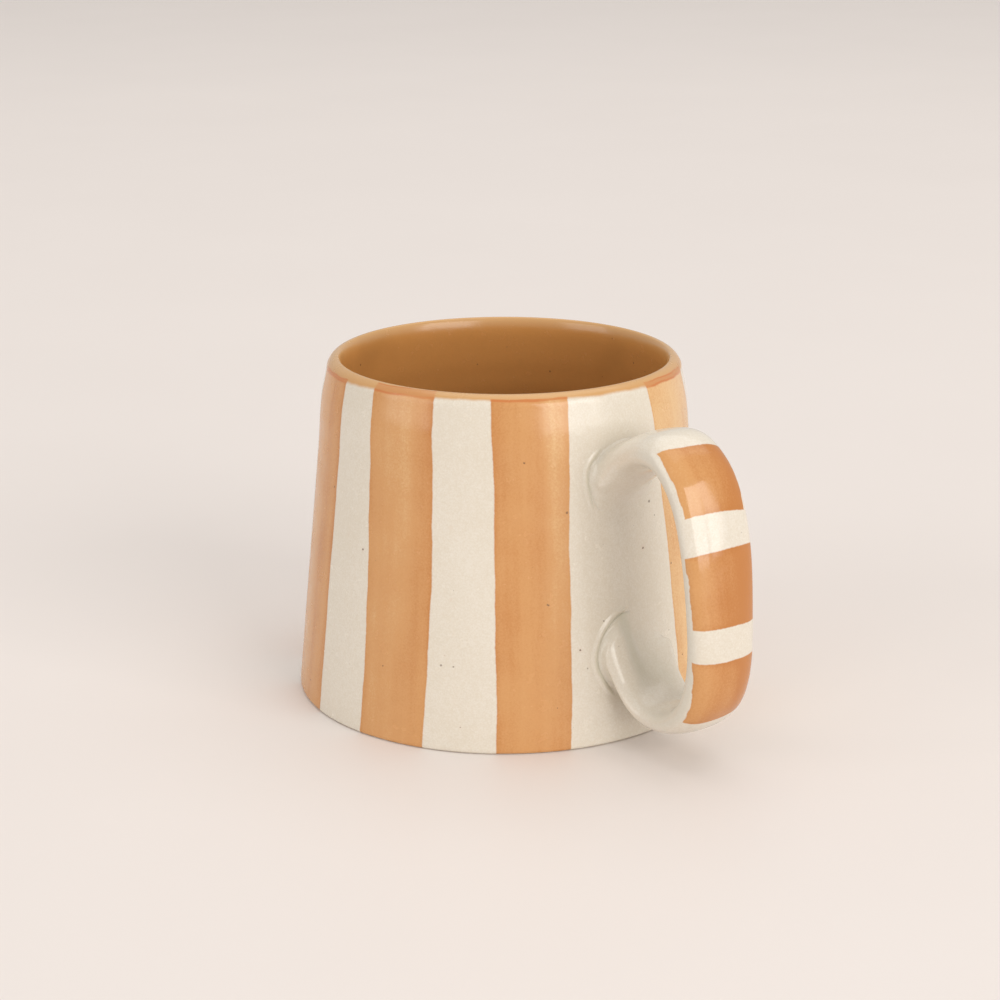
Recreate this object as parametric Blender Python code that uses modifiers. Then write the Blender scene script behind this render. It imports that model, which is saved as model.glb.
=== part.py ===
# Stoneware mug: a tapered cup body, a strap handle and the luting slip that joins them.
# Metres, +Z up. The origin is the centre of the underside, and the handle points along +X.

import math

import bpy
import numpy as np

OBJECT_NAME = "striped_mug"
MM = 0.001

# Cup body
CUP_HEIGHT = 78.0 * MM
RIM_RADIUS = 40.7 * MM  # outside, where the straight side would meet the rim's height
BASE_RADIUS = 48.7 * MM  # outside, where the straight side would meet the table
RIM_WALL = 4.1 * MM
BASE_WALL = 5.0 * MM
FLOOR_THICKNESS = 5.0 * MM
FLOOR_FILLET = 9.0 * MM
BASE_ROUNDING = 0.8 * MM
TURN_STEPS = 72

# Handle: each row is one section across the strap, from the upper joint round to the lower one.
# It gives the strap's outer point, its inner point (both as X, Z) and its half width, in mm, and
# the squareness of its inner side. The first and last rows lie inside the wall: they are trimmed off.
HANDLE_SECTIONS = (
    (39.5, 66.0, 41.8, 45.0, 9.2, 2.4),
    (43.2, 67.2, 44.6, 52.0, 8.9, 2.4),
    (47.6, 69.5, 48.3, 59.4, 8.6, 2.4),
    (55.3, 72.5, 54.6, 64.2, 8.5, 2.4),
    (60.4, 72.7, 58.9, 64.5, 8.5, 2.4),
    (64.9, 70.0, 62.4, 63.0, 8.5, 2.4),
    (69.5, 64.9, 65.6, 59.4, 8.5, 2.4),
    (72.7, 57.6, 68.0, 54.2, 8.5, 2.4),
    (75.1, 48.5, 69.6, 46.8, 8.5, 2.4),
    (76.9, 35.0, 70.5, 35.0, 8.5, 2.4),
    (77.0, 21.4, 70.1, 23.0, 8.5, 2.4),
    (74.4, 13.6, 67.8, 16.6, 8.5, 2.4),
    (69.2, 8.5, 63.6, 12.6, 8.5, 2.4),
    (62.4, 6.3, 59.0, 11.6, 8.5, 2.3),
    (56.4, 6.5, 55.0, 13.4, 8.6, 2.1),
    (51.9, 8.7, 51.4, 18.2, 8.9, 1.9),
    (48.8, 11.6, 48.3, 25.8, 9.4, 1.7),
    (44.6, 15.5, 45.5, 34.4, 10.2, 1.6),
)
OUTER_SQUARENESS = 2.4  # superellipse exponent: 2 is an ellipse, more is squarer
HANDLE_RINGS = 41
HANDLE_SIDES = 20

# Luting slip: the clay paste between each end of the handle and the wall, squeezed out all round.
SLIP_THICKNESS = 0.9 * MM
SLIP_REACH = 4.0 * MM  # how far the pad's blank runs each way from the wall's nearest point
SLIP_SIDES = 32
JOINT_GAP = 0.3 * MM
# Middle height, half width, reach up, reach down (mm), squareness above and below the middle
UPPER_SLIP = (59.2, 10.3, 8.6, 8.4, 2.5, 2.5)
LOWER_SLIP = (19.4, 11.2, 11.4, 8.6, 1.7, 2.5)

CREAM = (0.78, 0.70, 0.57)
WARM_CREAM = (0.74, 0.65, 0.52)


def clear_scene():
    for old in list(bpy.data.objects):
        bpy.data.objects.remove(old, do_unlink=True)


def new_collection(name):
    collection = bpy.data.collections.new(name)
    bpy.context.scene.collection.children.link(collection)
    return collection


def glaze(name, colour, roughness):
    material = bpy.data.materials.new(name)
    material.use_nodes = True
    shader = material.node_tree.nodes["Principled BSDF"]
    shader.inputs["Base Color"].default_value = (*colour, 1.0)
    shader.inputs["Roughness"].default_value = roughness
    shader.inputs["Metallic"].default_value = 0.0
    return material


def outer_radius(z):
    """Radius of the wall's outside at a height."""
    return BASE_RADIUS + (RIM_RADIUS - BASE_RADIUS) * z / CUP_HEIGHT


def inner_radius(z):
    """Radius of the wall's inside at a height: the wall thins from base to rim."""
    return outer_radius(z) - BASE_WALL + (BASE_WALL - RIM_WALL) * z / CUP_HEIGHT


def arc(centre_x, centre_z, radius, start, end, steps):
    """Points on an arc, with its angles in degrees from +X towards +Z."""
    angles = np.radians(np.linspace(start, end, steps + 1))
    return [(centre_x + radius * math.cos(a), centre_z + radius * math.sin(a)) for a in angles]


def cup_profile():
    """Half section of the cup: across the floor, up the inside, over the lip and down the outside."""
    fillet_top = FLOOR_THICKNESS + FLOOR_FILLET
    fillet_centre = inner_radius(fillet_top) - FLOOR_FILLET
    lip = RIM_WALL / 2
    lip_height = CUP_HEIGHT - lip
    lip_centre = outer_radius(lip_height) - lip
    foot_centre = outer_radius(BASE_ROUNDING) - BASE_ROUNDING
    return [
        (0.0, FLOOR_THICKNESS),
        *arc(fillet_centre, fillet_top, FLOOR_FILLET, -90, 0, 6),
        *arc(lip_centre, lip_height, lip, 180, 0, 8),
        *arc(foot_centre, BASE_ROUNDING, BASE_ROUNDING, 0, -90, 3),
        (0.0, 0.0),
    ]


def make_cup_body(collection):
    points = [(x, 0.0, z) for x, z in cup_profile()]
    edges = [(i, i + 1) for i in range(len(points) - 1)]
    mesh = bpy.data.meshes.new("cup_body")
    mesh.from_pydata(points, edges, [])
    cup = bpy.data.objects.new("cup_body", mesh)
    collection.objects.link(cup)
    turn = cup.modifiers.new("turn", "SCREW")
    turn.axis = "Z"
    turn.angle = math.tau
    turn.steps = TURN_STEPS
    turn.render_steps = TURN_STEPS
    turn.use_merge_vertices = True
    turn.merge_threshold = 0.00001
    turn.use_smooth_shade = True
    cup.data.materials.append(glaze("cup_glaze", CREAM, 0.2))
    return cup


def smooth_rows(rows, count):
    """Rows read from natural cubic splines through the given rows, spaced by the strap's middle."""
    middle = np.column_stack([rows[:, 0] + rows[:, 2], rows[:, 1] + rows[:, 3]]) / 2
    steps = np.hypot(*np.diff(middle, axis=0).T)
    knots = np.concatenate([[0.0], np.cumsum(steps)])
    slopes = np.diff(rows, axis=0) / steps[:, None]
    system = np.eye(len(knots))
    bends = np.zeros_like(rows)
    for i in range(1, len(knots) - 1):
        system[i, i - 1 : i + 2] = (steps[i - 1], 2 * (steps[i - 1] + steps[i]), steps[i])
        bends[i] = 6 * (slopes[i] - slopes[i - 1])
    bends = np.linalg.solve(system, bends)
    along = np.linspace(0.0, knots[-1], count)
    left = np.clip(np.searchsorted(knots, along) - 1, 0, len(steps) - 1)
    width = steps[left][:, None]
    before = (along - knots[left])[:, None]
    after = width - before
    return (
        (bends[left] * after**3 + bends[left + 1] * before**3) / (6 * width)
        + (rows[left] / width - bends[left] * width / 6) * after
        + (rows[left + 1] / width - bends[left + 1] * width / 6) * before
    )


def superellipse(count, squareness_above, squareness_below):
    """Closed outline as (across, up), each from -1 to 1. Arrays of squareness give an outline a row."""
    angles = np.arange(count) * math.tau / count
    across, up = np.cos(angles), np.sin(angles)
    power = np.where(up >= 0, squareness_above, squareness_below)
    reach = (np.abs(across) ** power + np.abs(up) ** power) ** (-1 / power)
    return across * reach, up * reach


def loft(name, rings):
    """Closed mesh through rings of points, with a flat face at each end."""
    count, sides = rings.shape[:2]
    faces = [tuple(range(sides)), tuple(range(count * sides - 1, (count - 1) * sides - 1, -1))]
    for ring in range(count - 1):
        start, following = ring * sides, (ring + 1) * sides
        for i in range(sides):
            j = (i + 1) % sides
            faces.append((start + j, start + i, following + i, following + j))
    mesh = bpy.data.meshes.new(name)
    mesh.from_pydata(rings.reshape(-1, 3).tolist(), [], faces)
    mesh.shade_smooth()
    mesh.set_sharp_from_angle(angle=math.radians(50))
    return bpy.data.objects.new(name, mesh)


def make_wall_cutter(collection, clearance):
    """The cup's outside as a solid cone, grown by a clearance measured square to the wall."""
    slant = math.hypot(CUP_HEIGHT, BASE_RADIUS - RIM_RADIUS) / CUP_HEIGHT
    overrun = 10.0 * MM
    low, high = -overrun, CUP_HEIGHT + overrun
    bpy.ops.mesh.primitive_cone_add(
        vertices=TURN_STEPS,
        radius1=outer_radius(low) + clearance * slant,
        radius2=outer_radius(high) + clearance * slant,
        depth=high - low,
        location=(0.0, 0.0, (low + high) / 2),
    )
    cutter = bpy.context.object
    cutter.name = "wall_cutter"
    cutter.hide_render = True
    cutter.display_type = "WIRE"
    for owner in list(cutter.users_collection):
        owner.objects.unlink(cutter)
    collection.objects.link(cutter)
    return cutter


def shape_with(piece, cutter, operation):
    change = piece.modifiers.new(operation.lower(), "BOOLEAN")
    change.operation = operation
    change.object = cutter


def make_handle(collection, cutters):
    rows = smooth_rows(np.array(HANDLE_SECTIONS), HANDLE_RINGS)
    outer, inner = rows[:, None, 0:2] * MM, rows[:, None, 2:4] * MM
    half_width, inner_squareness = rows[:, 4:5] * MM, rows[:, 5:6]
    across, up = superellipse(HANDLE_SIDES, OUTER_SQUARENESS, inner_squareness)
    placed = (outer + inner) / 2 + (outer - inner) / 2 * up[..., None]
    rings = np.stack([placed[..., 0], half_width * across, placed[..., 1]], axis=-1)
    handle = loft("handle", rings)
    collection.objects.link(handle)
    trim = make_wall_cutter(cutters, SLIP_THICKNESS + 2 * JOINT_GAP)
    shape_with(handle, trim, "DIFFERENCE")
    handle.data.materials.append(glaze("handle_glaze", CREAM, 0.2))
    return handle


def make_luting_slip(name, shape, collection, cutters):
    """A thin pad that follows the wall: a straight blank, trimmed to two offsets of the wall."""
    middle, half_width, above, below, squareness_above, squareness_below = shape
    across, up = superellipse(SLIP_SIDES, squareness_above, squareness_below)
    outline_y = half_width * MM * across
    outline_z = (middle + np.where(up >= 0, above, below) * up) * MM
    wall = outer_radius(middle * MM)
    rings = np.array(
        [
            np.column_stack([np.full(SLIP_SIDES, x), outline_y, outline_z])
            for x in (wall + SLIP_REACH, wall - SLIP_REACH)
        ]
    )
    slip = loft(name, rings)
    collection.objects.link(slip)
    shape_with(slip, make_wall_cutter(cutters, JOINT_GAP + SLIP_THICKNESS), "INTERSECT")
    shape_with(slip, make_wall_cutter(cutters, JOINT_GAP), "DIFFERENCE")
    slip.data.materials.append(glaze(name + "_glaze", WARM_CREAM, 0.25))
    return slip


def main():
    clear_scene()
    mug = new_collection(OBJECT_NAME)
    cutters = new_collection("cutters")
    make_cup_body(mug)
    make_handle(mug, cutters)
    make_luting_slip("upper_luting_slip", UPPER_SLIP, mug, cutters)
    make_luting_slip("lower_luting_slip", LOWER_SLIP, mug, cutters)


main()
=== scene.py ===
import math

import bpy
import numpy as np
from mathutils import Matrix, Vector


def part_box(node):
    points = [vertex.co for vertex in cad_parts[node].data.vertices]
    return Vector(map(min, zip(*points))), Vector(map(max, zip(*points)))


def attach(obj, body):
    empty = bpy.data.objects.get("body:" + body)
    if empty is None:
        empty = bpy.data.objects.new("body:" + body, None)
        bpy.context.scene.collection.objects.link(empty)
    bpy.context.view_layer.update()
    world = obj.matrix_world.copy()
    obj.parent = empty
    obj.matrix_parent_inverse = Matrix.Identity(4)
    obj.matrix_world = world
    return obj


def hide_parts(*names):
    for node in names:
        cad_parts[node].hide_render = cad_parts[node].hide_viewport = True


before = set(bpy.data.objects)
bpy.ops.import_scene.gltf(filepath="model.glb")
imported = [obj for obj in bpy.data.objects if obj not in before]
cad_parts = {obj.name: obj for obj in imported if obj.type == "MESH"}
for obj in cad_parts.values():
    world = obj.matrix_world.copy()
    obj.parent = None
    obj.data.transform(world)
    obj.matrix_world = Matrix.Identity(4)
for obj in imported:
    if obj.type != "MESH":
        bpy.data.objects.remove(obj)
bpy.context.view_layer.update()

mm = 0.001
cupLow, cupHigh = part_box("cup_body")

shot = {
    "aim": (0.0, 0.0, 0.0432),
    "middle": 0.039,  # half way up the mug: the camera and the lights are placed round this height
    "fromHandle": 38.0,  # degrees round from the handle to the camera
    "elevation": 17.9,
    "distance": 0.5437,
    "lens": 83.8,
    "roll": -0.37,
    "sideStep": 0.00103,  # the aim point moves this far to the camera's left
}


def roundTheMug(azimuth, elevation, distance):
    # a place seen from the mug: azimuth in degrees from the camera's side towards its right
    turn = math.radians(azimuth - shot["fromHandle"])
    lift = math.radians(elevation)
    flat = distance * math.cos(lift)
    height = shot["middle"] + distance * math.sin(lift)
    return Vector((flat * math.cos(turn), flat * math.sin(turn), height))


def placeCamera():
    where = roundTheMug(0.0, shot["elevation"], shot["distance"])
    data = bpy.data.cameras.new("camera")
    data.lens = shot["lens"]
    data.sensor_width = 36.0
    data.clip_start = 0.01
    camera = bpy.data.objects.new("camera", data)
    bpy.context.scene.collection.objects.link(camera)
    aim = Vector(shot["aim"])
    right = (aim - where).cross(Vector((0, 0, 1))).normalized()
    look = aim - right * shot["sideStep"] - where
    facing = look.to_track_quat("-Z", "Y").to_matrix()
    camera.matrix_world = Matrix.Translation(where) @ (
        facing @ Matrix.Rotation(math.radians(shot["roll"]), 3, "Z")
    ).to_4x4()
    bpy.context.scene.camera = camera


room = {
    # name, azimuth and elevation (degrees), half its width and height as seen from the mug (degrees),
    # radiance, colour
    "lights": [
        ("window_right", 35.5, 20.0, 13.5, 17.0, 3.9, (1.0, 0.97, 0.93)),
        ("window_right_pane", 57.0, 20.0, 5.5, 17.0, 3.9, (1.0, 0.97, 0.93)),
        ("window_left", -63.0, 20.0, 17.0, 17.0, 1.8, (1.0, 0.98, 0.95)),
        ("ceiling", 150.0, 78.0, 28.0, 28.0, 0.95, (1.0, 0.985, 0.96)),
    ],
    "lightDistance": 3.0,
    "wallColour": (1.0, 0.965, 0.93, 1.0),
    "wallStrength": 0.62,
}


def placeLights():
    distance = room["lightDistance"]
    middle = Vector((0, 0, shot["middle"]))
    for name, azimuth, elevation, halfWidth, halfHeight, radiance, colour in room["lights"]:
        data = bpy.data.lights.new(name, "AREA")
        data.shape = "RECTANGLE"
        data.size = 2 * distance * math.tan(math.radians(halfWidth))
        data.size_y = 2 * distance * math.tan(math.radians(halfHeight))
        data.energy = radiance * math.pi * data.size * data.size_y
        data.color = colour
        lamp = bpy.data.objects.new(name, data)
        bpy.context.scene.collection.objects.link(lamp)
        lamp.location = roundTheMug(azimuth, elevation, distance)
        lamp.rotation_euler = (middle - lamp.location).to_track_quat("-Z", "Y").to_euler()
        lamp.visible_camera = False
    world = bpy.data.worlds.new("room")
    world.use_nodes = True
    sky = world.node_tree.nodes["Background"]
    sky.inputs["Color"].default_value = room["wallColour"]
    sky.inputs["Strength"].default_value = room["wallStrength"]
    bpy.context.scene.world = world
    bpy.context.scene.view_settings.view_transform = "Standard"
    bpy.context.scene.view_settings.look = "None"


placeCamera()
placeLights()
print("camera and lights placed")


def smoothRise(x, low, high):
    # 0 below low, 1 above high, and an S-shaped rise between
    t = np.clip((x - low) / (high - low), 0.0, 1.0)
    return t * t * (3.0 - 2.0 * t)


def bell(x, middle, spread):
    # 1 at the middle, falling away as a bell curve
    return np.exp(-(((x - middle) / spread) ** 2))


def ringMesh(name, rings, attributes, startCap=None, endCap=None, closeAlong=False):
    # rings[i, j] is place j round ring i; quads join neighbours, and a fan closes each end to its cap point
    count, sides = rings.shape[:2]
    i = np.arange(count if closeAlong else count - 1)[:, None]
    j = np.arange(sides)[None, :]
    after, beside = (i + 1) % count, (j + 1) % sides
    quads = np.stack(
        [i * sides + j, i * sides + beside, after * sides + beside, after * sides + j], -1
    ).reshape(-1, 4)
    points = rings.reshape(-1, 3)
    values = {key: np.broadcast_to(v, (count, sides)).reshape(-1) for key, v in attributes.items()}
    fans = []
    for cap, first, turned in ((startCap, 0, True), (endCap, (count - 1) * sides, False)):
        if cap is None:
            continue
        here, following = first + j[0], first + beside[0]
        middle = np.full(sides, len(points))
        fans.append(np.stack([middle, following, here] if turned else [middle, here, following], -1))
        points = np.vstack([points, cap])
        values = {key: np.append(v, v[first : first + sides].mean()) for key, v in values.items()}
    fans = np.concatenate(fans) if fans else np.zeros((0, 3), int)
    # six times the enclosed volume: negative means that the faces point inwards
    corners = np.concatenate([quads[:, [0, 1, 2]], quads[:, [0, 2, 3]], fans])
    a, b, c = (points[corners[:, k]] for k in range(3))
    if np.einsum("ij,ij->", a, np.cross(b, c)) < 0:
        quads, fans = quads[:, ::-1], fans[:, ::-1]
    mesh = bpy.data.meshes.new(name)
    mesh.vertices.add(len(points))
    mesh.vertices.foreach_set("co", points.astype(np.float32).ravel())
    loops = np.concatenate([quads.ravel(), fans.ravel()])
    mesh.loops.add(len(loops))
    mesh.loops.foreach_set("vertex_index", loops.astype(np.int32))
    starts = np.concatenate([np.arange(len(quads)) * 4, len(quads) * 4 + np.arange(len(fans)) * 3])
    mesh.polygons.add(len(starts))
    mesh.polygons.foreach_set("loop_start", starts.astype(np.int32))
    mesh.polygons.foreach_set("use_smooth", np.ones(len(starts), bool))
    mesh.update(calc_edges=True)
    mesh.validate()
    for key, v in values.items():
        mesh.attributes.new(key, "FLOAT", "POINT").data.foreach_set("value", v.astype(np.float32))
    piece = bpy.data.objects.new(name, mesh)
    bpy.context.scene.collection.objects.link(piece)
    return piece


cup = {
    "rimOverBase": 40.7 / 48.7,
    "rimWall": 4.1 * mm,
    "baseWall": 5.0 * mm,
    "floor": 5.0 * mm,
    "floorSag": 0.35 * mm,
    "floorFillet": 9.0 * mm,
    "footRounding": 0.8 * mm,
    "lipOutside": 2.5 * mm,  # the lip's outer quarter is round, its inner quarter long and soft
    "lipInside": (1.6 * mm, 5.0 * mm),
    # a faint swell under the lip: how far, its height and its spread. Above it the wall turns in: how far,
    # and between which heights
    "swell": (0.22 * mm, 67.0 * mm, 5.0 * mm),
    "turnIn": (0.56 * mm, 69.0 * mm, 78.0 * mm),
    # waves round the wall: how many, phase, its drift up the wall, strength at the foot and at the rim
    "waves": [(2, 0.7, 0.0, 0.5, 1.0), (3, 2.1, 1.3, 0.5, 0.5), (5, 0.4, -2.0, 0.3, 0.3)],
    "outOfRound": 0.09 * mm,
    "lean": (0.12 * mm, 52.0),  # how far the rim leans, and towards which side (degrees)
    "rimRise": (0.45 * mm, 0.40 * mm, -65.0),  # mean, wave, and the side where it is highest (degrees)
    "lap": (3.4, 0.6, 0.4),  # the inside glaze's lap in mm: mean, once round and twice round
    "fingerRings": (0.05 * mm, 1.15 * mm),  # inside: how deep, and their spacing over 2 pi
    "steps": 360,
    # how a band's edges wander, in mm: amount, wavelength over 2 pi, shift by band and by side
    "wander": [(0.13, 9.0, 2.4, 1.0), (0.08, 3.7, 1.1, 2.0), (0.04, 1.5, 3.3, 1.0)],
    # a second stroke's edge: how soft it is, how far it sways (shares of half the band's width) and the
    # sway's wavelength over 2 pi in mm. The stroke fades to a share of its strength towards the foot,
    # between two heights in mm
    "strokeEdge": (0.14, 0.07, 13.0),
    "strokeFades": (0.35, 8.0, 40.0),
    # painted bands: left edge at the top, middle and foot, then the right edge (degrees round from the
    # handle), how thick the paint is, where a second stroke starts (-1 left to 1 right) and what it adds,
    # and how far up the band can be seen under the inside glaze, in mm
    "bands": [
        (12.6, 16.4, 17.6, 40.5, 46.5, 46.8, -0.26, 0.3, 0.05, 1.0),
        (67.2, 66.4, 66.9, 89.3, 89.9, 89.1, 0.00, -0.3, 0.20, 1.2),
        (109.6, 110.8, 110.1, 132.3, 132.9, 131.9, 0.05, 0.2, -0.22, 0.6),
        (153.2, 152.4, 153.5, 175.6, 175.2, 176.1, -0.08, -0.1, 0.18, 1.5),
        (195.8, 196.6, 195.9, 218.6, 219.1, 218.2, 0.02, 0.4, 0.24, 0.9),
        (239.5, 239.0, 238.5, 262.5, 261.8, 260.7, 0.10, 0.1, 0.10, 0.5),
        (277.2, 279.5, 280.0, 300.2, 301.0, 299.8, 0.03, 0.42, 0.20, 2.0),
        # this band's lighter right part, strongest towards the top, is a painted highlight: a window's
        # reflection in the glaze
        (318.0, 319.3, 319.4, 341.5, 340.5, 339.2, 0.17, 0.27, -0.24, 0.2),
    ],
}
cupHeight = cupHigh[2] - cupLow[2]
baseRadius = (cupHigh[1] - cupLow[1]) / 2 + 0.08 * mm  # the box stops at the rounded foot
rimRadius = baseRadius * cup["rimOverBase"]


def outerRadius(z):
    # the straight side, from the base radius to the rim radius
    return baseRadius + (rimRadius - baseRadius) * z / cupHeight


def handWobble(theta, z):
    # low waves round the wall, stronger towards the rim, and a slight lean of the rim to one side
    up = z / cupHeight
    waves = 0.0
    for count, phase, drift, atFoot, atRim in cup["waves"]:
        waves = waves + (atFoot + (atRim - atFoot) * up) * np.sin(count * theta + phase + drift * up)
    amount, side = cup["lean"]
    lean = amount * np.cos(theta - math.radians(side)) * smoothRise(up, 0.75, 1.0)
    return cup["outOfRound"] * waves + lean


def wallSurface(theta, z):
    # radius of the finished outside: straight side, faint swell, turn inwards under the lip, waves
    swell, swellAt, swellSpread = cup["swell"]
    turnIn, turnFrom, turnTo = cup["turnIn"]
    soft = swell * bell(z, swellAt, swellSpread) - turnIn * smoothRise(z, turnFrom, turnTo)
    return outerRadius(z) + soft + handWobble(theta, z)


def rimLift(theta):
    # the rim isn't quite level: a mean rise and one slow wave round the cup
    mean, wave, highest = cup["rimRise"]
    return mean + wave * np.cos(theta - math.radians(highest))


def glazeLap(theta):
    # how far the inside glaze comes over the lip and down the outside, in mm, least on the camera's side
    mean, once, twice = cup["lap"]
    turn = theta + math.radians(shot["fromHandle"])
    return mean - once * np.cos(turn) - twice * np.cos(2 * turn)


def cupProfile():
    # half section: floor, fillet, inside wall, lip, outside wall, foot and underside, as x and z,
    # with each point's distance from the lip's top (inside negative). The lip's two quarters are
    # ellipses that lean with the walls they continue.
    wall = lambda z: cup["baseWall"] + (cup["rimWall"] - cup["baseWall"]) * z / cupHeight
    inner = lambda z: outerRadius(z) - wall(z)
    foot, fillet = cup["footRounding"], cup["floorFillet"]
    filletTop = cup["floor"] + fillet
    filletX = inner(filletTop) - fillet
    lipOut, (soft, tall) = cup["lipOutside"], cup["lipInside"]
    footX = outerRadius(foot) - foot
    quarter = np.radians(np.linspace(0, 90, 22))
    insideLip = cupHeight - tall + tall * np.sin(quarter)
    outsideLip = cupHeight - lipOut + lipOut * np.sin(quarter[::-1][1:])
    insideRise = filletTop + (insideLip[0] - filletTop) * np.linspace(0, 1, 60)[1:-1]
    outward = np.linspace(0.02, 1, 18)[:-1]
    turnUp = np.radians(np.linspace(-90, 0, 16))
    footTurn = np.radians(np.linspace(0, -90, 9))
    wallTop = cupHeight - lipOut
    outsideFall = wallTop + (foot - wallTop) * np.linspace(0, 1, 104)[1:-1]
    pieces = [
        (filletX * outward, cup["floor"] - cup["floorSag"] * (1 - outward**2)),
        (filletX + fillet * np.cos(turnUp), filletTop + fillet * np.sin(turnUp)),
        (inner(insideRise), insideRise),
        (inner(insideLip) + soft * (1 - np.cos(quarter)), insideLip),
        (outerRadius(outsideLip) - lipOut * (1 - np.cos(quarter[::-1][1:])), outsideLip),
        (outerRadius(outsideFall), outsideFall),
        (footX + foot * np.cos(footTurn), foot + foot * np.sin(footTurn)),
        (footX * outward[::-1], 0.0 * outward),
    ]
    x, z = (np.concatenate([p[k] for p in pieces]) for k in (0, 1))
    lengths = np.append(0.0, np.cumsum(np.hypot(np.diff(x), np.diff(z))))
    return x, z, lengths - lengths[z.argmax()]


def bandLayout(theta, z):
    # for each place: distance inside the nearest band's edge, distance across it, its number, how much
    # paint is there and how far it shows under the inside glaze. Each edge is a parabola through its
    # places at the top, middle and foot.
    degrees = np.degrees(theta)[..., None]
    up = (z / cupHeight)[..., None]
    places, paint = np.split(np.array(cup["bands"]).T, [6])
    base, strokeAt, strokeAdds, shows = paint
    edge = lambda top, middle, foot: (
        foot * (1 - up) * (1 - 2 * up) + middle * 4 * up * (1 - up) + top * up * (2 * up - 1)
    )
    left, right = edge(*places[:3]), edge(*places[3:])
    number = np.arange(len(base))
    height = z[..., None] / mm
    perDegree = np.radians(1.0) * outerRadius(z)[..., None] / mm
    across = ((degrees - (left + right) / 2 + 180.0) % 360.0 - 180.0) * perDegree
    half = (right - left) / 2 * perDegree
    # each edge wanders a little on its own, as the brush did
    side = np.where(across > 0, 1.7, 0.0)
    wander = 0.0
    for amount, length, byNumber, bySide in cup["wander"]:
        wander = wander + amount * np.sin(height / length + byNumber * number + bySide * side)
    inside = half + wander - np.abs(across)
    soft, sway, swayLength = cup["strokeEdge"]
    share = across / half + sway * np.sin(height / swayLength + number)
    second = smoothRise(share, strokeAt - soft, strokeAt + soft)
    least, fadeFrom, fadeTo = cup["strokeFades"]
    fading = least + (1 - least) * smoothRise(height, fadeFrom, fadeTo)
    load = base + strokeAdds * second * fading
    nearest = inside.argmax(-1)[..., None]
    pick = lambda v: np.take_along_axis(v, nearest, -1)[..., 0]
    under = np.broadcast_to(shows, inside.shape)
    return pick(inside), pick(across), nearest[..., 0].astype(float), pick(load), pick(under)


def makeCupBody():
    x, z, fromLip = cupProfile()
    theta = np.linspace(0, 2 * np.pi, cup["steps"], endpoint=False)[None, :]
    x, z, fromLip = x[:, None], z[:, None], fromLip[:, None]
    # the waves move the whole wall and fade out over the floor and the underside; the outside has its swell
    outside = smoothRise(fromLip, -1.0 * mm, 3.0 * mm)
    full = smoothRise(x, 0.70 * baseRadius, 0.76 * baseRadius) * smoothRise(z, 0.0, 2.0 * mm)
    wobble = handWobble(theta, z)
    shift = wobble + (wallSurface(theta, z) - wobble - outerRadius(z)) * outside
    # shallow rings left by the thrower's fingers on the inside
    ringDepth, ringSpacing = cup["fingerRings"]
    rings = ringDepth * np.sin(z / ringSpacing + theta) * smoothRise(-fromLip, 8 * mm, 16 * mm)
    radius = x + (shift + rings) * full
    lift = rimLift(theta) * smoothRise(z, 48 * mm, cupHeight)
    points = np.stack([radius * np.cos(theta), radius * np.sin(theta), z + lift], -1)
    around = np.broadcast_to(theta, points.shape[:2])
    inside, across, number, load, under = bandLayout(around, points[..., 2])
    piece = ringMesh(
        "cup_glazed",
        points,
        {
            "paintInside": inside,
            "paintAcross": across,
            "paintNumber": number,
            "paintLoad": load,
            "paintUnder": under,
            "fromLip": fromLip / mm,
            "fromLap": fromLip / mm - glazeLap(theta),
        },
        startCap=[(0.0, 0.0, cup["floor"] - cup["floorSag"])],
        endCap=[(0.0, 0.0, 0.0)],
    )
    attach(piece, "root")
    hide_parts("cup_body")
    return piece


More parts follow.
